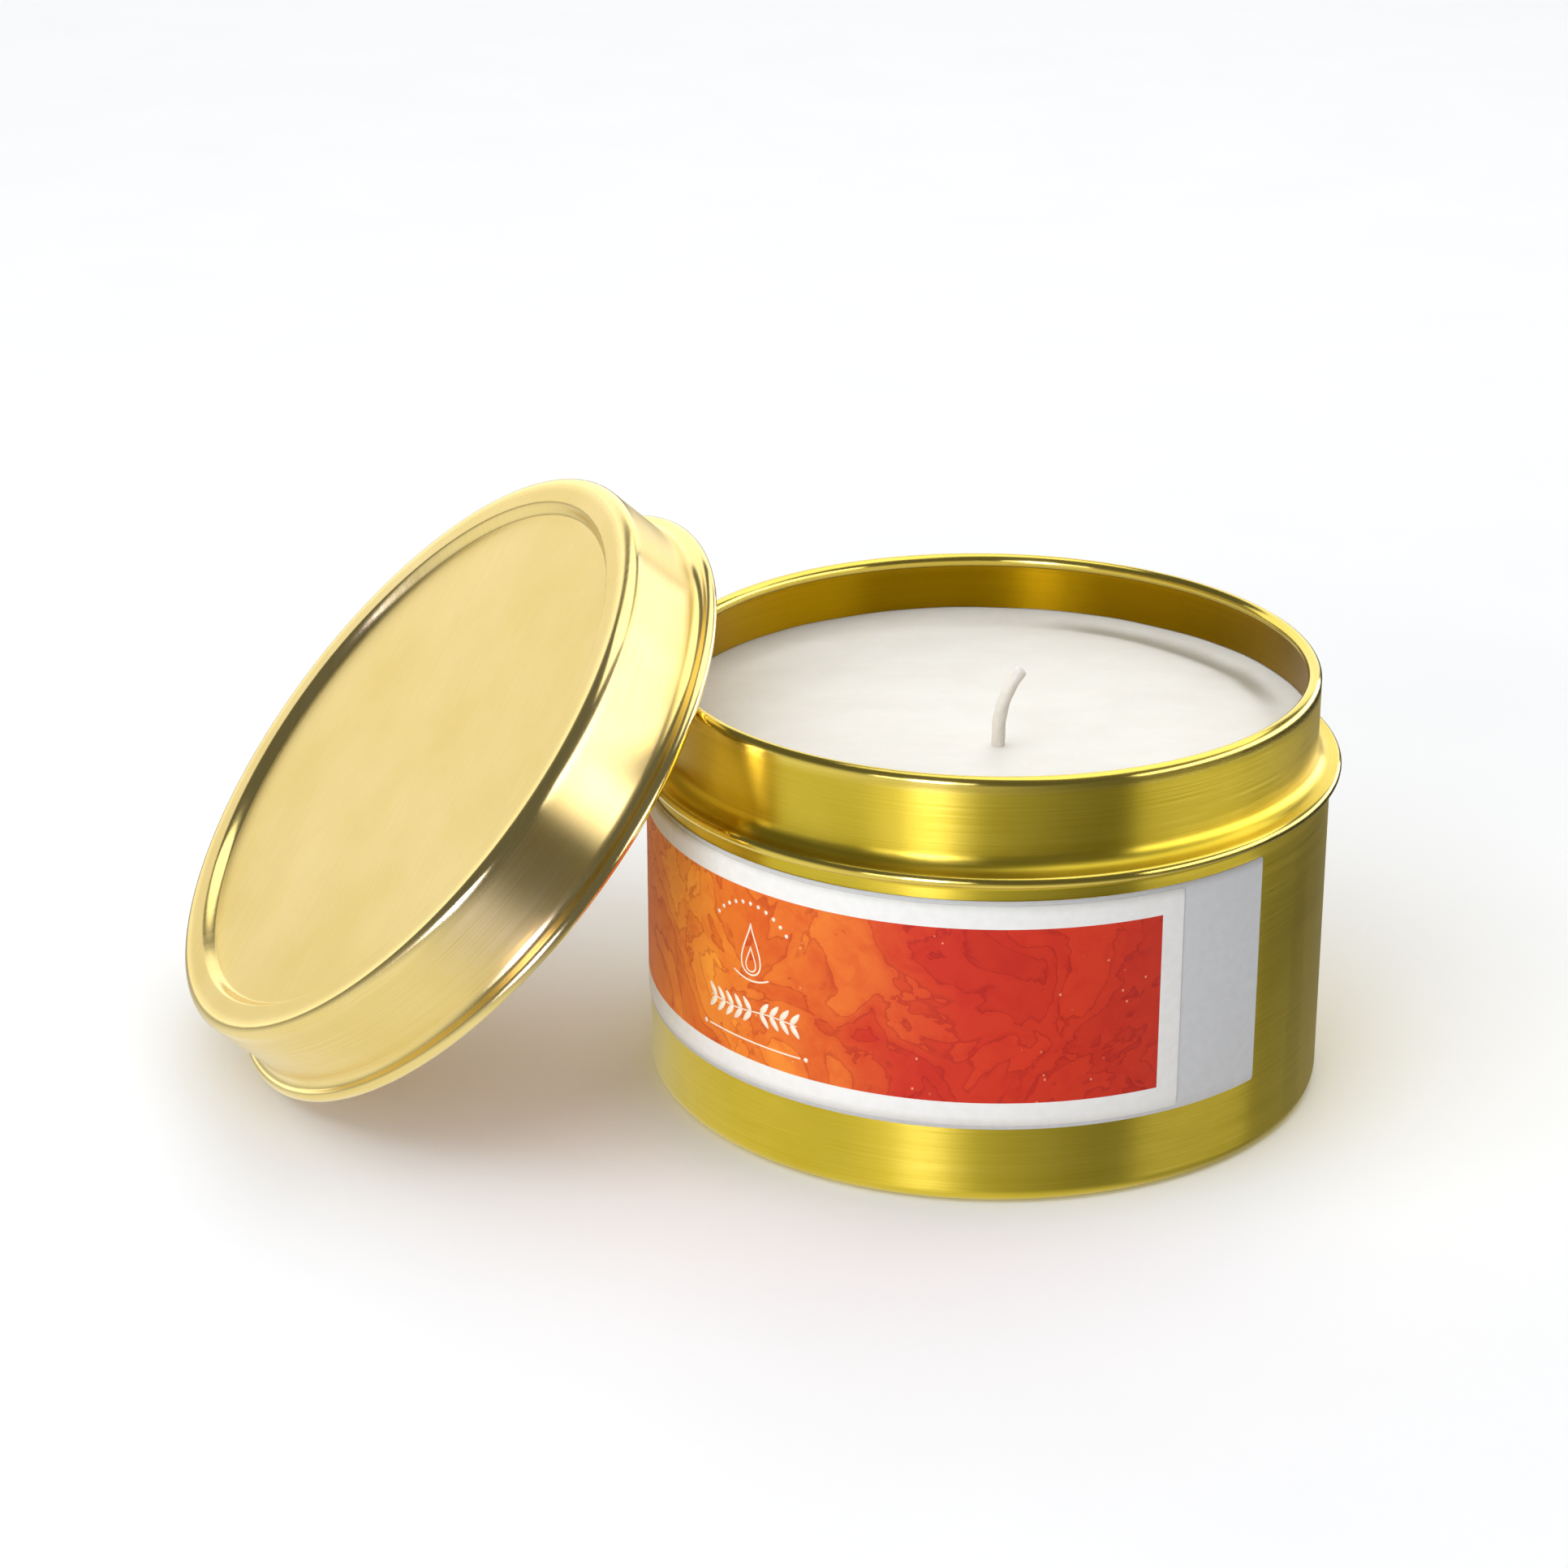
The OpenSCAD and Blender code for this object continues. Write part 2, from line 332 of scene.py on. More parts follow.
def brushed_tinplate(name, light, deep, along, grain_mm, roughness, painted_shade_r=0):
    """Gold lacquered tinplate, brushed before lacquering. The grain gives fine streaks and draws highlights
    out across itself; the lacquer's thickness varies a little, which the eye sees as warmer patches.
    along is the UV map whose u runs across the grain and v along it, both in metres. Where the attribute
    burnish is 1 the tools have pressed the edge smooth, so it is less rough, and its colour is lifted towards pale
    gold: a painted highlight on rims and edges. Nearer the axis than the given radius and below the rolled rim the
    colour is multiplied by a deeper gold: painted shade inside the tin."""
    m = Finish(name)
    uv = m.add("ShaderNodeUVMap", {"uv_map": along}).outputs[0]
    fine = m.noise(m.stretched(uv, (1 / (grain_mm * MM), 1 / (12 * MM), 1)), 1.0, 3.0, 0.6)
    coarse = m.noise(m.stretched(uv, (1 / (grain_mm * 3 * MM), 1 / (40 * MM), 1)), 1.0, 2.0, 0.5)
    place = m.add("ShaderNodeTexCoord").outputs["Object"]
    patches = m.noise(place, 1 / (14 * MM), 3.0, 0.55)
    streaks = m.math("ADD", m.math("MULTIPLY", fine, 0.6), m.math("MULTIPLY", coarse, 0.4))
    tone = m.math("ADD", m.math("MULTIPLY", streaks, 0.65), m.math("MULTIPLY", patches, 0.35))
    colour = m.mix(m.span(tone, 0.3, 0.7), linear(deep), linear(light))
    # on burnished edges the roughness is lowered and the colour is lifted towards pale gold, which is a painted
    # highlight
    burnished_and_sheen = m.add("ShaderNodeAttribute", {"attribute_name": "burnish_and_painted_sheen"}).outputs["Fac"]
    colour = m.mix(m.math("MULTIPLY", burnished_and_sheen, 0.2), colour, linear("F0DF9C"))
    # painted shade inside the tin: below the rolled rim and nearer the axis than the given radius, the colour is
    # multiplied by a deeper gold
    if painted_shade_r:
        at = m.add("ShaderNodeSeparateXYZ", None, Vector=place)
        away = m.math("SQRT", m.math("ADD", m.math("MULTIPLY", at.outputs[0], at.outputs[0]),
                                     m.math("MULTIPLY", at.outputs[1], at.outputs[1])))
        inside = m.math("MULTIPLY", m.math("LESS_THAN", away, painted_shade_r),
                        m.math("LESS_THAN", at.outputs[2], RIM_Z - 2 * ROLL_R))
        colour = m.mix(inside, colour, m.mix(1.0, colour, linear("B49E34"), "MULTIPLY"))
    m.put(m.shader.inputs["Base Color"], colour)
    m.put(m.shader.inputs["Roughness"], m.math("MULTIPLY", m.span(streaks, 0.25, 0.75, roughness * 0.9,
                                                                  roughness * 1.12),
                                               m.span(burnished_and_sheen, 0.0, 1.0, 1.0, 0.6)))
    m.shader.inputs["Metallic"].default_value = 1.0
    m.shader.inputs["Anisotropic"].default_value = 0.9
    tangent = m.add("ShaderNodeTangent", {"direction_type": "UV_MAP", "uv_map": along}).outputs[0]
    m.put(m.shader.inputs["Tangent"], tangent)
    ripple = m.bump(m.noise(place, 1 / (22 * MM), 1.0), 0.02 * MM, 0.5)
    m.put(m.shader.inputs["Normal"], m.bump(streaks, 0.003 * MM, 0.15, ripple))
    return m.material


def poured_wax(name):
    """Soy wax, poured and cooled: satin, slightly translucent, with faint cloudy frosting. Along the trough at
    the back right its colour is darkened to a grey-brown: painted shade in the crease."""
    m = Finish(name)
    place = m.add("ShaderNodeTexCoord").outputs["Object"]
    clouds = m.noise(m.stretched(place, (1, 1.7, 1)), 1 / (9 * MM), 4.0, 0.6, 0.4)
    frost = m.noise(place, 1 / (1.2 * MM), 4.0, 0.65)
    tone = m.math("ADD", m.math("MULTIPLY", clouds, 0.7), m.math("MULTIPLY", frost, 0.3))
    colour = m.mix(m.span(tone, 0.25, 0.75), linear("EAE6DD"), linear("F1EEE6"))
    # painted crease shade: a grey-brown band along the trough at the back right, near where the wax meets the wall
    at = m.add("ShaderNodeSeparateXYZ", None, Vector=place)
    away = m.math("SQRT", m.math("ADD", m.math("MULTIPLY", at.outputs[0], at.outputs[0]),
                                 m.math("MULTIPLY", at.outputs[1], at.outputs[1])))
    along = m.math("DIVIDE", m.math("ADD", m.math("MULTIPLY", at.outputs[0], math.cos(TROUGH_A)),
                                    m.math("MULTIPLY", at.outputs[1], math.sin(TROUGH_A))), away)
    wander = m.math("MULTIPLY", m.math("SUBTRACT", m.noise(place, 1 / (6 * MM), 3.0), 0.5), 1.6 * MM)
    off = m.math("ADD", m.math("SUBTRACT", WAX_R - TROUGH_IN, away), wander)
    outer = m.span(off, -1.9 * MM, -0.2 * MM)
    inner = m.span(off, 0.2 * MM, 2.4 * MM, 1.0, 0.0)
    # the band of painted crease shade, strongest at the back right
    thin = m.math("MULTIPLY", m.math("MULTIPLY", outer, inner), m.span(along, 0.80, 0.95))
    colour = m.mix(m.math("MULTIPLY", thin, 0.6), colour, linear("8F866C"))
    m.put(m.shader.inputs["Base Color"], colour)
    m.put(m.shader.inputs["Roughness"], m.span(frost, 0.3, 0.7, 0.36, 0.52))
    m.shader.inputs["IOR"].default_value = 1.45
    m.shader.inputs["Subsurface Weight"].default_value = 0.35
    m.shader.inputs["Subsurface Radius"].default_value = (1.0, 0.85, 0.6)
    m.shader.inputs["Subsurface Scale"].default_value = 1.6 * MM
    m.shader.inputs["Specular IOR Level"].default_value = 0.4
    waves = m.bump(clouds, 0.05 * MM, 0.5)
    m.put(m.shader.inputs["Normal"], m.bump(frost, 0.02 * MM, 0.5, waves))
    return m.material


def waxed_cotton(name):
    """Braided cotton soaked in wax: off-white, half smooth, with the plait just showing."""
    m = Finish(name)
    place = m.add("ShaderNodeTexCoord").outputs["Object"]
    fibres = m.noise(m.stretched(place, (1, 1, 0.25)), 1 / (0.18 * MM), 3.0, 0.6)
    m.put(m.shader.inputs["Base Color"], m.mix(fibres, linear("DDD7CB"), linear("F2EEE6")))
    m.shader.inputs["Roughness"].default_value = 0.55
    m.shader.inputs["Subsurface Weight"].default_value = 0.2
    m.shader.inputs["Subsurface Radius"].default_value = (1.0, 0.9, 0.7)
    m.shader.inputs["Subsurface Scale"].default_value = 0.6 * MM
    m.put(m.shader.inputs["Normal"], m.bump(fibres, 0.05 * MM, 0.6))
    return m.material


def paper_fibres(m, uv):
    """Relief of paper: long soft fibres about 0.1 mm wide over a 1 mm cloudiness, drawn on the label's map."""
    fibre = m.noise(m.stretched(uv, (4, 9, 1)), 1.0, 3.0, 0.6)
    cloud = m.noise(uv, 0.8, 2.0)
    return fibre, cloud


def label_stock_paper(name):
    """Matt white label stock, cool white, with the faint cloudiness of paper."""
    m = Finish(name)
    uv = m.add("ShaderNodeUVMap", {"uv_map": "UVMap"}).outputs[0]
    fibre, cloud = paper_fibres(m, uv)
    tone = m.math("ADD", m.math("MULTIPLY", fibre, 0.5), m.math("MULTIPLY", cloud, 0.5))
    m.put(m.shader.inputs["Base Color"], m.mix(m.span(tone, 0.3, 0.7), linear("C9C9C9"), linear("D0D0CF")))
    m.shader.inputs["Roughness"].default_value = 0.7
    m.put(m.shader.inputs["Normal"], m.bump(fibre, 0.002 * MM, 0.5))
    return m.material


def printed_watercolour(name):
    """Semi-matt print on paper: warm white margins round a plain two-colour watercolour wash, which runs evenly
    from orange at the sheet's left end to red at its right. Its pools, tide lines and specks come from noise
    alone. Drawn on the label's map in mm, where u is the distance right of the label's middle and v the height
    on the sheet."""
    m = Finish(name)
    uv = m.add("ShaderNodeUVMap", {"uv_map": "UVMap"}).outputs[0]
    parts = m.add("ShaderNodeSeparateXYZ", None, Vector=uv)
    u, v = parts.outputs[0], parts.outputs[1]
    half = PRINT_HALF * BODY_R / MM
    tall = (print_high.z - print_low.z) / MM

    def lay(colour, share, strength, hexcode, blend="MIX"):
        """Lays a wash of paint over the colour where share is 1."""
        return m.mix(m.math("MULTIPLY", share, strength), colour, linear(hexcode), blend)

    pools = m.noise(uv, 1 / 13.0, 5.0, 0.5, 0.6)
    cloud = m.noise(m.stretched(uv, (1, 1, 1), moved=(31, 7, 0)), 1 / 3.5, 5.0, 0.6, 0.8)

    # an even blend from one end of the sheet to the other, which wanders with the pools
    wander = m.math("MULTIPLY", m.math("SUBTRACT", pools, 0.5), 0.5)
    across = m.math("ADD", m.span(u, -half, half, smooth=False), wander)
    colour = m.mix(m.span(across, 0.3, 0.75), linear("FAA034"), linear("D2340E"))
    colour = lay(colour, m.span(cloud, 0.44, 0.66), 0.3, "E89070", "MULTIPLY")

    # pools of paint that dried one over another, each with a tide line of pigment at its edge
    for level in (0.42, 0.5, 0.58):
        pool = m.span(pools, level - 0.003, level)
        line = m.math("MULTIPLY", pool, m.span(pools, level, level + 0.02, 1.0, 0.0))
        colour = lay(colour, pool, 0.14, "D86040", "MULTIPLY")
        colour = lay(colour, line, 0.4, "C04828", "MULTIPLY")

    # granulation and specks of lifted paint
    grains = m.noise(uv, 1 / 0.16, 2.0, 0.5)
    colour = lay(colour, m.span(grains, 0.35, 0.7), 0.08, "5A1408")
    cells = m.add("ShaderNodeTexVoronoi", None, Vector=uv, Scale=0.7, Randomness=1.0)
    few = m.span(m.noise(uv, 0.16, 1.0, 0.5), 0.52, 0.6)
    specks = m.math("MULTIPLY", m.span(cells.outputs["Distance"], 0.07, 0.13, 1.0, 0.0), few)
    colour = lay(colour, specks, 0.6, "F6B488")

    # warm white margins round the wash
    in_u = m.math("SUBTRACT", half - MARGIN_MM, m.math("ABSOLUTE", u))
    in_v = m.math("SUBTRACT", tall / 2 - MARGIN_MM, m.math("ABSOLUTE", m.math("SUBTRACT", v, tall / 2)))
    inside = m.math("GREATER_THAN", m.math("MINIMUM", in_u, in_v), 0.0)
    fibre, haze = paper_fibres(m, uv)
    white = m.mix(m.span(haze, 0.3, 0.7), linear("E6E4DF"), linear("EAE8E4"))
    m.put(m.shader.inputs["Base Color"], m.mix(inside, white, colour))
    m.shader.inputs["Roughness"].default_value = 0.6
    m.shader.inputs["Specular IOR Level"].default_value = 0.2
    m.put(m.shader.inputs["Normal"], m.bump(fibre, 0.002 * MM, 0.5))
    return m.material


def plain_tinplate(name):
    """Bright stamped tinplate, as on the sustainer: pale grey metal with fine rolling lines."""
    m = Finish(name)
    place = m.add("ShaderNodeTexCoord").outputs["Object"]
    lines = m.noise(m.stretched(place, (0.1, 1, 1)), 1 / (0.1 * MM), 3.0)
    m.put(m.shader.inputs["Base Color"], m.mix(lines, linear("B9B9B7"), linear("D4D4D2")))
    m.put(m.shader.inputs["Roughness"], m.span(lines, 0.3, 0.7, 0.22, 0.34))
    m.shader.inputs["Metallic"].default_value = 1.0
    m.put(m.shader.inputs["Normal"], m.bump(lines, 0.004 * MM, 0.5))
    return m.material


def adhesive_foam(name):
    """White closed-cell foam tape: matt, with small open bubbles on its cut edge."""
    m = Finish(name)
    place = m.add("ShaderNodeTexCoord").outputs["Object"]
    cells = m.add("ShaderNodeTexVoronoi", None, Vector=place, Scale=1 / (0.25 * MM)).outputs["Distance"]
    m.put(m.shader.inputs["Base Color"], m.mix(cells, linear("F2F2EE"), linear("DADAD4")))
    m.shader.inputs["Roughness"].default_value = 0.85
    m.put(m.shader.inputs["Normal"], m.bump(cells, 0.05 * MM, 0.6))
    return m.material


def printed_ink(name):
    """Cream ink lines printed over the wash: thin, matt, a little uneven."""
    m = Finish(name)
    place = m.add("ShaderNodeTexCoord").outputs["Object"]
    uneven = m.noise(place, 1 / (0.3 * MM), 2.0)
    m.put(m.shader.inputs["Base Color"], m.mix(uneven, linear("F4DFC2"), linear("FCEFDC")))
    m.shader.inputs["Roughness"].default_value = 0.6
    return m.material


def wear(made, material):
    """Gives a piece its one material."""
    made.data.materials.clear()
    made.data.materials.append(material)


MARGIN_MM = 2.7           # white margin of the printed layer

# ---------------------------------------------------------------- camera, floor and light

VIEW_FROM = (-23.4 * MM, -413.8 * MM, 200.7 * MM)
VIEW_DOWN = math.radians(21.98)

camera_data = bpy.data.cameras.new("camera")
camera_data.lens = 88.97
camera_data.sensor_width = 36
camera_data.clip_start = 0.01
camera_data.clip_end = 50
camera = bpy.data.objects.new("camera", camera_data)
camera.location = VIEW_FROM
camera.rotation_euler = (math.pi / 2 - VIEW_DOWN, 0, 0)
bpy.context.scene.collection.objects.link(camera)
bpy.context.scene.camera = camera
bpy.context.scene.view_settings.view_transform = "Standard"


def pale_floor():
    """A wide flat floor, matt and almost white."""
    half = 6.0
    corners = np.array([[-half, -half, 0], [half, -half, 0], [half, half, 0], [-half, half, 0]])
    floor = mesh_object("floor", corners, [np.array([[0, 1, 2, 3]])], smooth=False)
    m = Finish("matt_floor_paper")
    place = m.add("ShaderNodeTexCoord").outputs["Object"]
    m.put(m.shader.inputs["Base Color"], m.mix(m.noise(place, 30.0), linear("F3F3F3"), linear("F7F7F7")))
    m.shader.inputs["Roughness"].default_value = 0.9
    m.shader.inputs["Specular IOR Level"].default_value = 0.1
    wear(floor, m.material)
    floor.visible_glossy = False


def softbox(name, place, width, height, glow, mirrored=True, lighting=True, colour=(1, 1, 1)):
    """A rectangular softbox at place that faces the tin and glows evenly, at glow times the white of a page
    in full light. One that is not mirrored lights the matt surfaces alone, as a fill behind a flag does, and
    one that is not lighting shows in the metal alone, as a white card does."""
    data = bpy.data.lights.new(name, "AREA")
    data.shape = "RECTANGLE"
    data.size = width
    data.size_y = height
    data.energy = glow * math.pi * width * height
    data.color = colour
    box = bpy.data.objects.new(name, data)
    box.location = place
    box.rotation_euler = (Vector((0, 0, 0.03)) - Vector(place)).to_track_quat("-Z", "Y").to_euler()
    box.visible_camera = False
    box.visible_glossy = mirrored
    box.visible_diffuse = lighting
    bpy.context.scene.collection.objects.link(box)


def studio():
    """Soft light: a large box overhead and behind, a pale wall of light at the back, a narrow box in front
    and softer ones at the sides, in a dim room that is paler low on its left. A low black flag at the right
    shows in the body's right side and not in the neck."""
    world = bpy.data.worlds.new("room")
    bpy.context.scene.world = world
    world.use_nodes = True
    tree = world.node_tree
    way = tree.nodes.new("ShaderNodeTexCoord").outputs["Generated"]
    dot = tree.nodes.new("ShaderNodeVectorMath")
    dot.operation = "DOT_PRODUCT"
    dot.inputs[1].default_value = ROOM_PALE_WAY
    tree.links.new(way, dot.inputs[0])
    ramp = tree.nodes.new("ShaderNodeMapRange")
    ramp.interpolation_type = "SMOOTHSTEP"
    for socket, value in zip(ramp.inputs[1:5], ROOM_RANGE):
        socket.default_value = value
    tree.links.new(dot.outputs["Value"], ramp.inputs[0])
    tree.links.new(ramp.outputs[0], tree.nodes["Background"].inputs["Strength"])
    tree.nodes["Background"].inputs["Color"].default_value = (1, 1, 1, 1)
    softbox("overhead", (0.3, 0.3, 0.95), 1.1, 1.1, 1.7)
    softbox("back_wall", (-0.35, 1.2, 0.45), 2.6, 0.9, 1.3)
    softbox("front_strip", (-0.31, -0.80, 0.13), 0.2, 0.22, 12.0, lighting=False, colour=(1, 1, 2.2))
    softbox("front_wide", (-0.37, -0.84, 0.13), 0.54, 0.22, 3.7, lighting=False, colour=(1, 1, 1.6))
    softbox("right_side", (0.80, 0.10, 0.16), 2.0, 0.4, 4.2, lighting=False, colour=(1, 1, 1.25))
    softbox("fill_front", (-0.45, -0.35, 0.95), 1.0, 1.0, 2.1, mirrored=False, colour=(0.97, 1, 1.04))
    softbox("fill_left", (-0.55, -0.75, 0.25), 0.9, 0.4, 4.0, mirrored=False, colour=(0.97, 1, 1.03))
    flag = mesh_object("black_flag", np.array([[75, -25, 0], [75, 170, 0], [75, 170, 38], [75, -25, 38]]) * MM,
                       [np.array([[0, 1, 2, 3]])], smooth=False)
    m = Finish("black_felt")
    m.shader.inputs["Base Color"].default_value = linear("0A0A0A")
    m.shader.inputs["Roughness"].default_value = 1.0
    wear(flag, m.material)
    flag.visible_camera = False
    flag.visible_diffuse = False
    flag.visible_shadow = False


ROOM_PALE_WAY = (-0.6, -0.1, -1.0)      # direction in which the room is palest
ROOM_RANGE = (0.1, 0.9, 0.14, 0.95)    # from and to along that direction, then dim and pale glow

pale_floor()
studio()

# ---------------------------------------------------------------- the tin

# the last number is the radius inside which shade is painted on the tin's inner wall
gold_round = brushed_tinplate("gold_tinplate_brushed_round", "E4CB48", "CEB42A", "grain", 0.08, 0.30, NECK_R - WALL / 2)
tin = turn("tin_shell", tin_outline())
co = np.empty(len(tin.data.vertices) * 3)
tin.data.vertices.foreach_get("co", co)
co = co.reshape(-1, 3)


def grain_round(made, points):
    """Maps the grain round an axis: u is the distance along the axis and out from it, which runs across
    the grain, and v is the way round at the body's radius. Faces over the back seam wrap to a full turn."""
    index = np.empty(len(made.data.loops), np.int32)
    made.data.loops.foreach_get("vertex_index", index)
    radius = np.hypot(points[:, 0], points[:, 1])
    round_ = np.arctan2(points[:, 1], points[:, 0])[index]
    first = np.empty(len(made.data.polygons), np.int32)
    count = np.empty(len(made.data.polygons), np.int32)
    made.data.polygons.foreach_get("loop_start", first)
    made.data.polygons.foreach_get("loop_total", count)
    highest = np.repeat(np.maximum.reduceat(round_, first), count)
    round_ = np.where((highest > 2) & (round_ < -2), round_ + 2 * np.pi, round_)
    across = (points[:, 2] + radius)[index]
    layer = made.data.uv_layers.new(name="grain")
    layer.data.foreach_set("uv", np.stack([across, round_ * BODY_R], 1).astype(np.float32).ravel())


def burnish_and_painted_sheen(made, share):
    """Records how far each vertex lies on an edge that the tools have pressed smooth and that gets a painted pale
    highlight, from 0 to 1.
    """
    layer = made.data.attributes.new("burnish_and_painted_sheen", "FLOAT", "POINT")
    layer.data.foreach_set("value", np.clip(share, 0, 1).astype(np.float32))


grain_round(tin, co)
radius = np.hypot(co[:, 0], co[:, 1])
# the rolled rim and the bead's edge: smoothed, and given a painted highlight
on_rim = (co[:, 2] - (RIM_Z - 1.8 * MM)) / (0.3 * MM)
on_bead = (radius - (BEAD_R - 0.5 * MM)) / (0.2 * MM)
burnish_and_painted_sheen(tin, np.maximum(on_rim, on_bead))
wear(tin, gold_round)
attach(tin, "tin")
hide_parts("tin_body")

# ---------------------------------------------------------------- the lid

lid = turn("lid_shell", lid_outline())
co = np.empty(len(lid.data.vertices) * 3)
lid.data.vertices.foreach_get("co", co)
local = co.reshape(-1, 3)


def grain_lid(made, points):
    """Maps the lid's grain: straight across the top, and round the skirt below the corner. u runs across
    the grain."""
    grain_round(made, points)
    layer = made.data.uv_layers["grain"]
    uv = np.empty(len(made.data.loops) * 2, np.float32)
    layer.data.foreach_get("uv", uv)
    uv = uv.reshape(-1, 2)
    count = np.empty(len(made.data.polygons), np.int32)
    made.data.polygons.foreach_get("loop_total", count)
    middle = np.empty(len(made.data.polygons) * 3, np.float32)
    made.data.polygons.foreach_get("center", middle)
    middle = middle.reshape(-1, 3)
    on_top = np.repeat(middle[:, 2] > LID_H - LID_CORNER_R * 0.55 - PANEL_DEPTH * (
        np.hypot(middle[:, 0], middle[:, 1]) < PANEL_R + WALL), count)
    index = np.empty(len(made.data.loops), np.int32)
    made.data.loops.foreach_get("vertex_index", index)
    c, s = math.cos(TOP_GRAIN), math.sin(TOP_GRAIN)
    x, y = points[index, 0], points[index, 1]
    straight = np.stack([-s * x + c * y, c * x + s * y], 1)
    uv[on_top] = straight[on_top]
    layer.data.foreach_set("uv", uv.ravel())


TOP_GRAIN = math.radians(31)   # direction of the top's grain from the lid's uphill line
grain_lid(lid, local)
radius = np.hypot(local[:, 0], local[:, 1])
# the lid's corner, step and flange: smoothed, and given a painted highlight
on_corner = np.minimum(radius - (SKIRT_R - LID_CORNER_R - 0.2 * MM), local[:, 2] - (LID_H - LID_CORNER_R - 0.2 * MM))
on_step = PANEL_SLOPE / 2 - 0.1 * MM - np.abs(radius - (PANEL_R - PANEL_SLOPE / 2))
on_flange = radius - (SKIRT_R + 0.1 * MM)
burnish_and_painted_sheen(lid, np.max([on_corner, on_step, on_flange], axis=0) / (0.2 * MM))
lid_centre, lid_axis, lid_down, lid_hinge = lid_pose()
basis = np.stack([lid_down, np.cross(lid_axis, lid_down), lid_axis])
placed = local @ basis + lid_centre
lid.data.vertices.foreach_set("co", placed.ravel())
lid.data.update()
wear(lid, brushed_tinplate("gold_tinplate_brushed_straight", "F9E19A", "EACE74", "grain", 0.09, 0.30))
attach(lid, "lid")
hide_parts("lid")

# ---------------------------------------------------------------- wax and wick

def wax_surface(x, y):
    """Height of the wax: a flat with a raised lip near the wall, a trough at the lip's foot that is deepest
    at the back right, a low cone round the wick that spreads to its left, and slow waves."""
    r = np.hypot(x, y)
    lip = np.clip((r - (WAX_R - LIP_W)) / LIP_W, 0, 1)
    angle = np.arctan2(y, x)
    back_right = np.exp(-((angle - TROUGH_A) / TROUGH_SPAN) ** 2)
    trough = np.exp(-((r - (WAX_R - TROUGH_IN)) / TROUGH_W) ** 2) * (0.1 + 0.9 * back_right)
    dx = x - WICK_X
    d = np.hypot(np.where(dx < 0, dx * 0.62, dx), y - WICK_Y)
    cone = np.exp(-(d - WICK_R).clip(0) / (1.0 * MM))
    waves = np.sin(x / (7 * MM) + 1.3) * np.sin(y / (9 * MM) + 0.4) + 0.5 * np.sin((x + 2 * y) / (5 * MM))
    edge_wave = np.sin(5 * angle) + 0.7 * np.sin(11 * angle + 1) + 0.5 * np.sin(23 * angle + 2)
    z = WAX_Z - WAX_DISH + WAX_DISH * lip ** 2 * (0.88 + 0.12 * edge_wave / 2.2)
    return z - 0.5 * MM * trough + 0.55 * MM * cone + 0.02 * MM * waves


def wax_piece():
    """Closed wax: rings out over the surface, then down the wall and back under to the axis."""
    out = WAX_R * np.linspace(0, 1, 190)[1:] ** 0.92
    a = np.linspace(0, 2 * np.pi, AROUND, endpoint=False)
    R, A = np.meshgrid(out, a, indexing="ij")
    X, Y = R * np.cos(A), R * np.sin(A)
    top = np.stack([X, Y, wax_surface(X, Y)], 2)
    body = BODY_R - WALL
    side = np.array([[WAX_R, LEDGE_Z + LEDGE_FILLET_R], [body, LEDGE_Z - BEAD_H], [body, BASE_CORNER_R],
                     [body - BASE_CORNER_R, WALL + 0.05 * MM]])
    low = np.stack([side[:, 0, None] * np.cos(a), side[:, 0, None] * np.sin(a),
                    np.broadcast_to(side[:, 1, None], (4, AROUND))], 2)
    rings = np.concatenate([top, low])[::-1]
    rows = len(rings)
    points = np.concatenate([rings.reshape(-1, 3), [[0, 0, WALL + 0.05 * MM],
                                                    [0, 0, float(wax_surface(0.0, 0.0))]]])
    i = np.arange(rows - 1)[:, None] * AROUND
    j = np.arange(AROUND)[None]
    k = (j + 1) % AROUND
    quads = np.stack([i + j, i + k, i + AROUND + k, i + AROUND + j], 2).reshape(-1, 4)
    first, last, top_row = rows * AROUND, rows * AROUND + 1, (rows - 1) * AROUND
    fans = [np.stack([np.full(AROUND, first), k[0], j[0]], 1),
            np.stack([np.full(AROUND, last), top_row + j[0], top_row + k[0]], 1)]
    return mesh_object("wax_candle", points, [quads, *fans])


wax = wax_piece()
wear(wax, poured_wax("soy_wax_poured"))
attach(wax, "tin")
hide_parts("wax_fill")


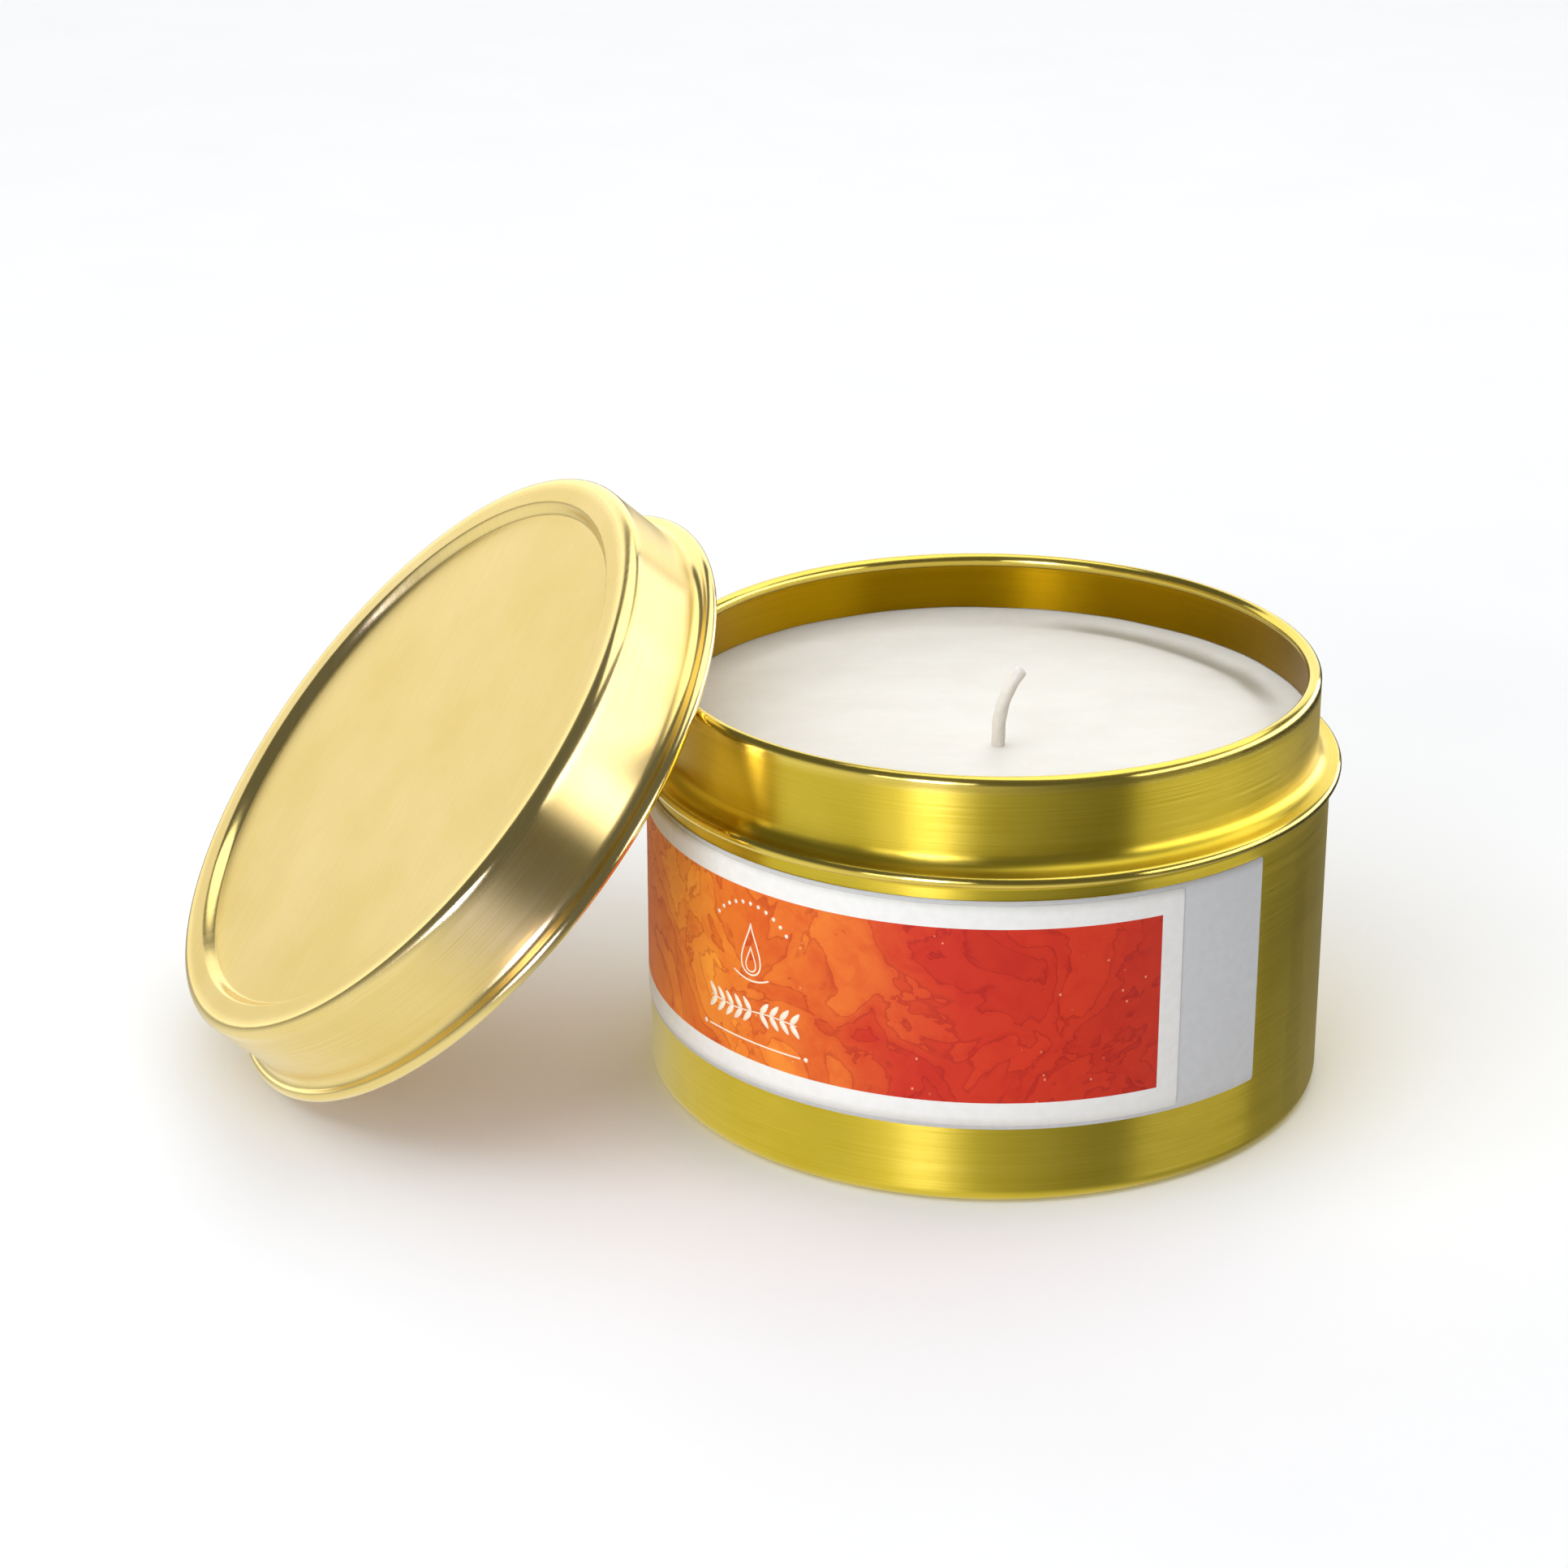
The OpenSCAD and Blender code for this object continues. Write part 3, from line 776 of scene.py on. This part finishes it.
def wick_piece(bend_r=12 * MM, lean=math.radians(38), steps=150, sides=36):
    """The wick: a tube along a line that rises straight and then follows an arc to its tip. Its radius has
    three plaited lobes that turn round it once each 2.6 mm, thins a little towards the tip and closes there."""
    surface = WAX_Z - WAX_DISH
    arc_len = bend_r * lean
    straight = WICK_TIP_Z - bend_r * math.sin(lean) - 0.7 * MM * math.cos(0)
    start = surface - 3 * MM
    total = straight - start + arc_len
    s = np.linspace(0, total, steps)
    past = np.clip(s - (straight - start), 0, None) / bend_r
    x = WICK_X + bend_r * (1 - np.cos(past))
    z = start + np.minimum(s, straight - start) + bend_r * np.sin(past)
    tangent = np.stack([np.sin(past), np.zeros(steps), np.cos(past)], 1)
    side = np.stack([np.cos(past), np.zeros(steps), -np.sin(past)], 1)
    other = np.cross(tangent, side)
    a = np.linspace(0, 2 * np.pi, sides, endpoint=False)
    lobes = 1 + 0.03 * np.cos(3 * (a[None] - 2 * np.pi * s[:, None] / (7.8 * MM)))
    slack = 1 + 0.01 * np.sin(s / (0.9 * MM))
    closing = np.sqrt(np.clip(1 - ((s - (total - 0.35 * MM)) / (0.36 * MM)).clip(0) ** 2, 0.02, 1))
    thin = np.interp(s, [0, total * 0.5, total], [1.0, 0.95, 0.86])
    radius = WICK_R * (thin * slack * closing)[:, None] * lobes
    centre = np.stack([x, np.full(steps, WICK_Y), z], 1)
    rings = centre[:, None] + radius[..., None] * (np.cos(a)[None, :, None] * side[:, None]
                                                   + np.sin(a)[None, :, None] * other[:, None])
    points = np.concatenate([rings.reshape(-1, 3), centre[:1], centre[-1:] + tangent[-1:] * 0.03 * MM])
    i = np.arange(steps - 1)[:, None] * sides
    j = np.arange(sides)[None]
    k = (j + 1) % sides
    quads = np.stack([i + j, i + k, i + sides + k, i + sides + j], 2).reshape(-1, 4)
    first, last, top = steps * sides, steps * sides + 1, (steps - 1) * sides
    fans = [np.stack([np.full(sides, first), k[0], j[0]], 1),
            np.stack([np.full(sides, last), top + j[0], top + k[0]], 1)]
    return mesh_object("wick_braid", points, [quads, *fans])


wick = wick_piece()
wear(wick, waxed_cotton("cotton_braid_waxed"))
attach(wick, "tin")
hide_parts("wick")

wear(frame["nodes"]["wick_sustainer"], plain_tinplate("tinplate_stamped"))
wear(frame["nodes"]["sustainer_sticker"], adhesive_foam("foam_tape_cut"))

# ---------------------------------------------------------------- label

stock = wrapped_sheet("label_stock_sheet", LABEL_HALF, label_low.z, label_high.z, BODY_R + 0.01 * MM, LABEL_T,
                      corner=0.4 * MM)
wear(stock, label_stock_paper("label_stock_matt"))
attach(stock, "tin")
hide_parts("label_stock")

sheet = wrapped_sheet("printed_sheet", PRINT_HALF, print_low.z, print_high.z, BODY_R + LABEL_T + 0.015 * MM,
                      LABEL_T - 0.02 * MM, corner=0.3 * MM)
wear(sheet, printed_watercolour("watercolour_print_on_paper"))
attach(sheet, "tin")
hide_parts("printed_label")

# ---------------------------------------------------------------- ornament printed on the label


def ribbon(line, width):
    """Both edges of a line of even width."""
    ahead = np.gradient(line, axis=0)
    side = np.stack([-ahead[:, 1], ahead[:, 0]], 1) / np.hypot(*ahead.T)[:, None]
    return line + side * width / 2, line - side * width / 2


def leaf(foot, length, width, angle):
    """Both edges of a leaf: half widths that follow the square root of a sine along its length."""
    t = np.linspace(0.02, 0.98, 14)
    half = width / 2 * np.sqrt(np.sin(np.pi * t)) * (1.15 - 0.45 * t)
    c, s_ = math.cos(angle), math.sin(angle)
    middle = np.array(foot) + np.stack([c * t, s_ * t], 1) * length
    across = np.array([-s_, c])
    return middle + half[:, None] * across, middle - half[:, None] * across


def dot(place, radius):
    """Both edges of a round dot."""
    a = np.linspace(0.03, 0.97, 14) * np.pi
    x = place[0] - radius * np.cos(a)
    return (np.stack([x, place[1] + radius * np.sin(a)], 1), np.stack([x, place[1] - radius * np.sin(a)], 1))


def ornament():
    """A plain drop-shaped flame under an arch of dots, a branch of leaves and a rule: pairs of edges, in mm
    on the label's map."""
    t = np.linspace(0, 2 * np.pi, 60)
    drop = np.stack([ORNAMENT_U + 1.75 * np.sin(t) * (1 - np.cos(t)) * 0.62,
                     13.0 + 3.1 * (1 + np.cos(t))], 1)
    core = np.stack([ORNAMENT_U + 0.9 * np.sin(t) * (1 - np.cos(t)) * 0.62,
                     13.4 + 1.5 * (1 + np.cos(t))], 1)
    stem = np.stack([np.linspace(-6.4, 6.4, 60) + ORNAMENT_U,
                     8.6 + 0.25 * np.sin(np.linspace(-np.pi, np.pi, 60))], 1)
    rule = np.stack([np.linspace(-6.9, 6.9, 50) + ORNAMENT_U, np.full(50, 4.9)], 1)
    saucer = np.stack([np.linspace(-2.6, 2.6, 30) + ORNAMENT_U, 12.3 + 0.1 * np.linspace(-2.6, 2.6, 30) ** 2], 1)
    shapes = [ribbon(drop, 0.2), ribbon(core, 0.16), ribbon(saucer, 0.2), ribbon(stem, 0.16), ribbon(rule, 0.2)]
    for x in np.linspace(-5.6, 5.6, 9):
        lean = math.radians(52 if x > 0 else 128)
        foot = (ORNAMENT_U + x, 8.6 + 0.25 * math.sin(math.pi * x / 6.4))
        shapes += [leaf(foot, 1.9, 0.75, lean), leaf(foot, 1.9, 0.75, -lean)]
    for a in np.radians(np.linspace(40, 140, 11)):
        shapes.append(dot((ORNAMENT_U + 6.6 * math.cos(a), 14.6 + 6.9 * math.sin(a)), 0.24))
    for x in (-7.6, 7.6):
        shapes.append(dot((ORNAMENT_U + x, 4.9), 0.28))
    return shapes


def ink_film(name, shapes, inner, thick):
    """A thin closed film on the label for each pair of edges: a strip of quads above, one below and a rim."""
    points, groups, start = [], [], 0
    for left, right in shapes:
        n = len(left)
        flat = np.concatenate([left, right]) * MM
        flat[:, 1] += print_low.z
        points += [bend_on_tin(flat[:, 0], flat[:, 1], inner + thick), bend_on_tin(flat[:, 0], flat[:, 1], inner)]
        i = np.arange(n - 1)
        top = np.stack([i, i + n, i + n + 1, i + 1], 1)
        signed = np.cross(right[0] - left[0], left[1] - left[0])
        loop = np.concatenate([np.arange(n), np.arange(2 * n - 1, n - 1, -1)])
        nxt = np.roll(loop, -1)
        rim = np.stack([loop, nxt, nxt + 2 * n, loop + 2 * n], 1)
        faces = [top, top[:, ::-1] + 2 * n, rim]
        groups += [(f if signed > 0 else f[:, ::-1]) + start for f in faces]
        start += 4 * n
    return mesh_object(name, np.concatenate(points), groups)


ORNAMENT_U = 0.3          # middle of the ornament, mm right of the label's middle

ink = ink_film("printed_ornament", ornament(), BODY_R + 2 * LABEL_T, 0.012 * MM)
wear(ink, printed_ink("cream_ink"))
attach(ink, "tin")
